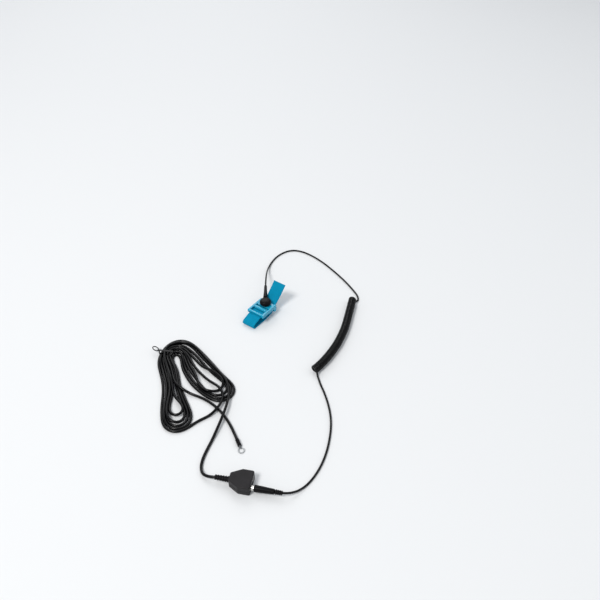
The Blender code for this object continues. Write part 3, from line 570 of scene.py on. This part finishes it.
def top_strand():
    """The strand that comes in over the right end and lies on the others down to the left end."""
    stop = LEFT_REACH[4] / LEFT_STEP
    return [strand(t, between(TOP_LANE, t)[0], top_height(t)) for t in sections(TOP_START, stop)]


CLIMB_START = 13.2  # section where lane 4 starts to rise over the right end
CROSS_START = LAST - 0.5  # section where it leaves the hank as the crossing lead
DROP_WIDTH, CLIMB_WIDTH = 0.9, 1.2  # sections that its way down and its way up take


def rise(t, start, width):
    """A smooth rise from 0 to 1 over a width of section numbers."""
    share = min(max((t - start) / width, 0.0), 1.0)
    return share * share * (3 - 2 * share)


def middle_strand():
    """Lane 4, which comes down off the top at the left end and leaves over the right end."""
    start = LEFT_REACH[4] / LEFT_STEP
    points = []
    for t in sections(start, CROSS_START):
        here = lane(t, 4)
        lift = max(1.0 - rise(t, start, DROP_WIDTH), rise(t, CLIMB_START, CLIMB_WIDTH))
        here.z += (TOP_Z - here.z) * lift
        points.append(here)
    return points


LAST_ON_LANE = 3.9  # section where lane 3 leaves its place
# section number, place across the hank and height of the points where it climbs over the inner lanes
INNER_CLIMB = ((3.4, -0.30, TOP_Z), (2.9, -0.42, 6.3), (2.4, -0.62, 6.9), (2.05, -0.84, 6.6))


def leaving_strand():
    """Lane 3, which climbs over the inner lanes and leaves the hank as the ring's lead."""
    points = run(3, LAST - RIGHT_REACH[3] / RIGHT_STEP, LAST_ON_LANE, steps=50)
    return points + [strand(*place) for place in INNER_CLIMB]


ARRIVAL_POINTS = 10
ARRIVAL_START, ARRIVAL_TURN = 122.0, 13.0  # angle round the left end, and its change from point to point
ARRIVAL_RADIUS, DRAW_IN = 19.2, 0.26  # first radius, and its loss from point to point


def arriving_loop():
    """The crossing lead goes round the left end on the outside, drawing in to the outer lane."""
    middle, arm = across(0.0)
    side = Vector((arm.x, arm.y, 0.0)).normalized()
    points = []
    for i in range(ARRIVAL_POINTS):
        angle = radians(ARRIVAL_START - ARRIVAL_TURN * i)
        radius = ARRIVAL_RADIUS - DRAW_IN * i
        place = side * (radius * cos(angle)) + LEFT_AWAY * (radius * sin(angle))
        points.append(Vector((middle.x + place.x, middle.y + place.y, GROUND_RADIUS)))
    return points


def wind_hank():
    """The whole ground cord as one list of points, from the housing to the ring terminal."""
    first = top_strand()
    second = middle_strand()
    points = [Vector(p) for p in NEAR_LEAD] + first
    points += end_loop(first[-1], second[0], LEFT_AWAY) + second
    points += [Vector(p) for p in CROSS_LEAD] + arriving_loop()
    for out, back in ((OUTER_LANE, 0), (7, 1), (6, 2), (5, 3)):
        right = LAST - RIGHT_REACH[out] / RIGHT_STEP
        going = run(out, LEFT_REACH[out] / LEFT_STEP, right)
        coming = leaving_strand() if back == 3 else run(back, right, LEFT_REACH[back] / LEFT_STEP)
        if out != OUTER_LANE:
            points += end_loop(points[-1], going[0], LEFT_AWAY)
        points += going + end_loop(going[-1], coming[0], RIGHT_AWAY) + coming
    return points + [Vector(p) for p in RING_LEAD]


def eased(at, amount, reach=2):
    """Points moved towards the middle of their neighbours, both ends kept."""
    shift = (np.roll(at, reach, axis=0) + np.roll(at, -reach, axis=0)) / 2 - at
    shift[:reach] = 0.0
    shift[-reach:] = 0.0
    return at + shift * amount


def settle(points, radius, tightest, rounds):
    """Let the cord ease: strands that share a place part, sharp bends open, and all keep to the floor."""
    neighbours = 6  # points along the cord that may be closer than the cord is thick
    hold = 24.0  # points at each end that move less and less, so that the ends stay put
    span = 3  # a bend is measured between points this far on each side
    push, most = 0.25, 0.4  # share of an overlap undone in a round, and the most in millimetres
    steep = 0.5  # strands cross where this share of the gap between them is height
    sideways, upwards = 0.25, 1.7  # weights of the push where strands cross, and of its height
    opening, give_back = 0.3, 0.45  # how fast a tight bend opens, and what its neighbours give
    blur = 5  # points over which the opening of a bend is spread
    forth, back = 0.4, -0.41  # smoothing, and the step back that keeps the curve from shrinking
    fall = 0.02  # millimetres that the cord sinks in a round
    at = np.array([tuple(p) for p in points], dtype=np.float32)
    count = len(at)
    index = np.arange(count)
    apart = np.abs(index[:, None] - index[None, :]) > neighbours
    loose = (np.minimum(index, count - 1 - index).clip(0, hold)[:, None] / hold).astype(np.float32)
    for _ in range(rounds):
        gap = at[:, None, :] - at[None, :, :]
        far = np.sqrt((gap ** 2).sum(axis=2)) + 1e-6
        near = apart & (far < 2 * radius)
        crossing = np.abs(gap[:, :, 2]) > steep * far
        share = np.where(near, (2 * radius - far) / far, 0.0)
        # strands that cross part mostly upwards, and strands side by side part sideways
        level = share * np.where(crossing, sideways, 1.0)
        move = np.stack([(gap[:, :, 0] * level).sum(axis=1), (gap[:, :, 1] * level).sum(axis=1),
                         (gap[:, :, 2] * share).sum(axis=1) * upwards], axis=1)
        move = (move * push).clip(-most, most)
        move = eased(eased(move, 0.5, 1), 0.5, 2)
        # a bend tighter than the limit opens, and its push is taken back from the points beside it
        before, after = np.roll(at, span, axis=0), np.roll(at, -span, axis=0)
        middle = (before + after) / 2 - at
        bend = ((after - before) ** 2).sum(axis=1) / (8 * np.linalg.norm(middle, axis=1) + 1e-6)
        sharp = np.clip(tightest / (bend + 1e-6) - 1.0, 0.0, 1.0)
        sharp = np.convolve(sharp, np.ones(blur) / blur, mode="same")
        unbend = middle * (opening * sharp[:, None])
        move += unbend - (np.roll(unbend, span, axis=0) + np.roll(unbend, -span, axis=0)) * give_back
        # weight, then smoothing, then the floor
        move[:, 2] -= fall
        at += move * loose
        smooth = eased(eased(at, forth), back)
        at += (smooth - at) * loose
        at[:, 2] = np.maximum(at[:, 2], radius)
    return [Vector(p) for p in at.tolist()]


ground_points = smooth_curve(wind_hank(), step=2.5)
ground_points = settle(ground_points, GROUND_RADIUS, tightest=9.5, rounds=60)
ground_points = smooth_curve(ground_points, step=2.2)
ground_cord = cord_curve("ground_cord_line", ground_points, GROUND_RADIUS, "black_cord", "ground_lead")
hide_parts("ground_lead_near", "hank_right", "ground_lead_cross", "hank_left", "ring_lead")
print("ground cord length", round(route_length(ground_points) * MM, 4))


# ---------------------------------------------------------------- wristband webbing

# places on the strip's path are x and height
BAND_WIDTH = 20.0
BAND_THICK = 1.4
HALF_THICK = BAND_THICK / 2
STRIP_Z = 11.1
SLACK = 0.3  # between the strip and its bar, and between the two sewn layers
END_BAR = (7.5, 6.9)
END_BAR_RADIUS = 1.2
WRAP_RADIUS = END_BAR_RADIUS + SLACK + HALF_THICK
SEWN_SLOPE = 20.0
SEWN_WAY = Vector((cos(radians(SEWN_SLOPE)), sin(radians(SEWN_SLOPE))))
SEWN_NORMAL = Vector((-SEWN_WAY.y, SEWN_WAY.x))
LOWER_LAYER = Vector(END_BAR) - SEWN_NORMAL * WRAP_RADIUS
UPPER_LAYER = LOWER_LAYER + SEWN_NORMAL * (BAND_THICK + SLACK)
# distances from the end bar: points of the sewn end, and of the layer under it
SEWN_POINTS = (10.5, 7.2, 4.2)
UNDER_POINTS = (4.0, 8.0)
WRAP_START = 168.0  # where on the end bar the strip starts to go round it
FLOOR_POINTS = (-8.0, -16.0, -24.0)
LOOP_END = (-32.9, 3.8)
LOOP_END_RADIUS = 3.1
LOOP_SLOPE = 18.0
LOOP_TOP = [(-28.5, 8.55), (-23.5, 10.15), (-19.5, 11.0), (-17.0, STRIP_Z), (-8.0, STRIP_Z)]
TAIL = [
    (1.0, STRIP_Z), (8.2, STRIP_Z), (12.6, 11.9), (17.6, 14.6), (23.4, 19.3), (29.8, 25.2), (36.2, 31.6),
]


def polar(centre, radius, angle):
    return Vector((centre[0] + radius * cos(radians(angle)), centre[1] + radius * sin(radians(angle))))


def arc(centre, radius, start, end, steps):
    return [polar(centre, radius, start + (end - start) * i / steps) for i in range(steps + 1)]


def strip_path(step):
    """The strip's middle line: sewn end, end bar, floor, loop end, buckle, tail."""
    path = [UPPER_LAYER - SEWN_WAY * distance for distance in SEWN_POINTS]
    path += arc(END_BAR, WRAP_RADIUS, WRAP_START, SEWN_SLOPE - 90.0, steps=9)
    path += [LOWER_LAYER - SEWN_WAY * distance for distance in UNDER_POINTS]
    path += [Vector((x, HALF_THICK)) for x in FLOOR_POINTS]
    path += arc(LOOP_END, LOOP_END_RADIUS, -90.0, -270.0 + LOOP_SLOPE, steps=6)
    path += [Vector(p) for p in LOOP_TOP + TAIL]
    points = smooth_curve([(p.x, p.y, 0.0) for p in path], step)
    return [Vector((p.x, max(p.y, HALF_THICK))) for p in points]


SELVEDGE = 1.6  # width of the thinner woven edge
SELVEDGE_DROP = 0.05
EDGE_INSET = 0.45  # where the flat face ends and the rounded edge starts
EDGE_ROUND = 0.12  # how far the rounded edge's shoulders lie inside its tip
SHOULDER = 0.62  # their height, as a share of the half thickness
FACE_STEPS = 16
WAVY_FROM = 8.0  # the edges wander a little outside this distance from the middle


def webbing_section():
    """Outline of the strip: places across it and heights above its middle, with rounded edges."""
    half_w, half_t = BAND_WIDTH / 2, HALF_THICK
    face_width = BAND_WIDTH - 2 * EDGE_INSET
    places = [-half_w + EDGE_INSET + i * face_width / FACE_STEPS for i in range(FACE_STEPS + 1)]
    top = [(y, half_t - SELVEDGE_DROP * (abs(y) > half_w - SELVEDGE)) for y in places]
    shoulder = (half_w - EDGE_ROUND, half_t * SHOULDER)
    edge = [shoulder, (half_w, 0.0), (shoulder[0], -shoulder[1])]
    bottom = [(y, -n) for y, n in reversed(top)]
    other_edge = [(-y, -n) for y, n in edge]
    return top + edge + bottom + other_edge


def make_webbing():
    """A woven strip: a flat section with rounded selvedges, swept along the path."""
    path = strip_path(step=0.7)
    section = webbing_section()
    mesh = bmesh.new()
    uv = mesh.loops.layers.uv.new("UVMap")
    rings = []
    along = 0.0
    for i, here in enumerate(path):
        ahead = (path[min(i + 1, len(path) - 1)] - path[max(i - 1, 0)]).normalized()
        normal = Vector((-ahead.y, ahead.x))
        if i:
            along += (here - path[i - 1]).length
        wave = 1.0 + 0.010 * sin(along / 7.3) + 0.006 * sin(along / 2.9)
        ring = []
        for y, n in section:
            place = here + normal * n
            side = y * wave if abs(y) > WAVY_FROM else y
            ring.append((mesh.verts.new((place.x * MM, side * MM, place.y * MM)), along, y))
        rings.append(ring)
    count = len(section)
    for lower, upper in zip(rings, rings[1:]):
        for k in range(count):
            corners = [lower[k], lower[(k + 1) % count], upper[(k + 1) % count], upper[k]]
            face = mesh.faces.new([c[0] for c in corners])
            face.smooth = True
            for loop, corner in zip(face.loops, corners):
                loop[uv].uv = (corner[1], corner[2])
    for ring, flip in ((rings[0], False), (rings[-1], True)):
        cap = mesh.faces.new([c[0] for c in (ring if flip else reversed(ring))])
        for loop in cap.loops:
            loop[uv].uv = (loop.vert.co.x / MM, loop.vert.co.y / MM)
    bmesh.ops.recalc_face_normals(mesh, faces=mesh.faces)
    data = bpy.data.meshes.new("band_webbing")
    mesh.to_mesh(data)
    mesh.free()
    band = new_piece("band_webbing", data, "elastic_blue", "wristband")
    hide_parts("elastic_band")


STITCH_ROWS = (5.4, 9.2)  # distance of each row from the end bar
STITCHES = range(-4, 5)  # places across the strip, counted from its middle
STITCH_GAP = 2.0
STITCH_HALF = (0.26 * MM, 0.72 * MM, 0.17 * MM, 1.0)  # half its length along, across and off the strip


def make_stitches():
    """Two rows of thread through the doubled webbing where the band's end is sewn round its bar."""
    along = Vector((SEWN_WAY.x, 0.0, SEWN_WAY.y))
    normal = Vector((-along.z, 0.0, along.x))
    turned = Matrix((along, (0.0, 1.0, 0.0), normal)).transposed().to_4x4()
    mesh = bmesh.new()
    for row in STITCH_ROWS:
        outer = (UPPER_LAYER - SEWN_WAY * row + SEWN_NORMAL * HALF_THICK,
                 LOWER_LAYER - SEWN_WAY * row - SEWN_NORMAL * HALF_THICK)
        for k in STITCHES:
            for face_point in outer:
                place = Vector((face_point.x, STITCH_GAP * k, face_point.y))
                spot = Matrix.Translation(place * MM) @ turned @ Matrix.Diagonal(STITCH_HALF)
                bmesh.ops.create_icosphere(mesh, subdivisions=2, radius=1.0, matrix=spot)
    for face in mesh.faces:
        face.smooth = True
    data = bpy.data.meshes.new("band_stitches")
    mesh.to_mesh(data)
    mesh.free()
    thread = moulded("stitch_thread", shade(BAND_BLUE, 0.55), roughness=0.6, grain=0.3, grain_size=0.2)
    new_piece("band_stitches", data, "elastic_blue", "wristband", thread)


make_webbing()
make_stitches()


# ---------------------------------------------------------------- stage, lights, camera, in metres

FLOOR_HALF = 6.0


def make_stage():
    corners = [(x * FLOOR_HALF, y * FLOOR_HALF, 0) for x, y in ((-1, -1), (1, -1), (1, 1), (-1, 1))]
    mesh = bpy.data.meshes.new("floor")
    mesh.from_pydata(corners, [], [(0, 1, 2, 3)])
    floor = bpy.data.objects.new("floor", mesh)
    link(floor)
    n = Nodes("pale_floor")
    n.put(Base_Color=(0.80, 0.81, 0.82, 1.0), Roughness=0.7, Specular_IOR_Level=0.2)
    mesh.materials.append(n.mat)


def area_light(name, place, target, size, power, colour=(1.0, 1.0, 1.0)):
    data = bpy.data.lights.new(name, "AREA")
    data.energy = power
    data.size = size
    data.color = colour
    light = bpy.data.objects.new(name, data)
    light.location = place
    light.rotation_euler = (Vector(target) - Vector(place)).to_track_quat("-Z", "Y").to_euler()
    link(light)


make_stage()
area_light("key", (-1.67, 0.22, 2.40), (0.0, -0.05, 0.0), size=0.8, power=47.0, colour=(1.0, 0.985, 0.96))
area_light("fill", (0.9, -1.3, 1.8), (0.0, -0.05, 0.0), size=2.0, power=7.0, colour=(0.95, 0.98, 1.0))
area_light("back", (1.5, 1.7, 2.0), (0.1, 0.1, 0.0), size=1.8, power=23.0)
world = bpy.data.worlds.new("studio")
world.use_nodes = True
background = world.node_tree.nodes["Background"]
background.inputs["Color"].default_value = (0.93, 0.96, 1.0, 1.0)
background.inputs["Strength"].default_value = 0.5
bpy.context.scene.world = world
bpy.context.scene.view_settings.view_transform = "Standard"

camera_data = bpy.data.cameras.new("camera")
camera_data.sensor_width = 36.0
camera_data.lens = 37.44
camera_data.clip_start = 0.01
camera = bpy.data.objects.new("camera", camera_data)
camera.location = (-0.5138, -0.4351, 0.5779)
heading, tilt = radians(36.0), radians(39.53)
forward = Vector((cos(tilt) * cos(heading), cos(tilt) * sin(heading), -sin(tilt)))
camera.rotation_euler = forward.to_track_quat("-Z", "Y").to_euler()
link(camera)
bpy.context.scene.camera = camera
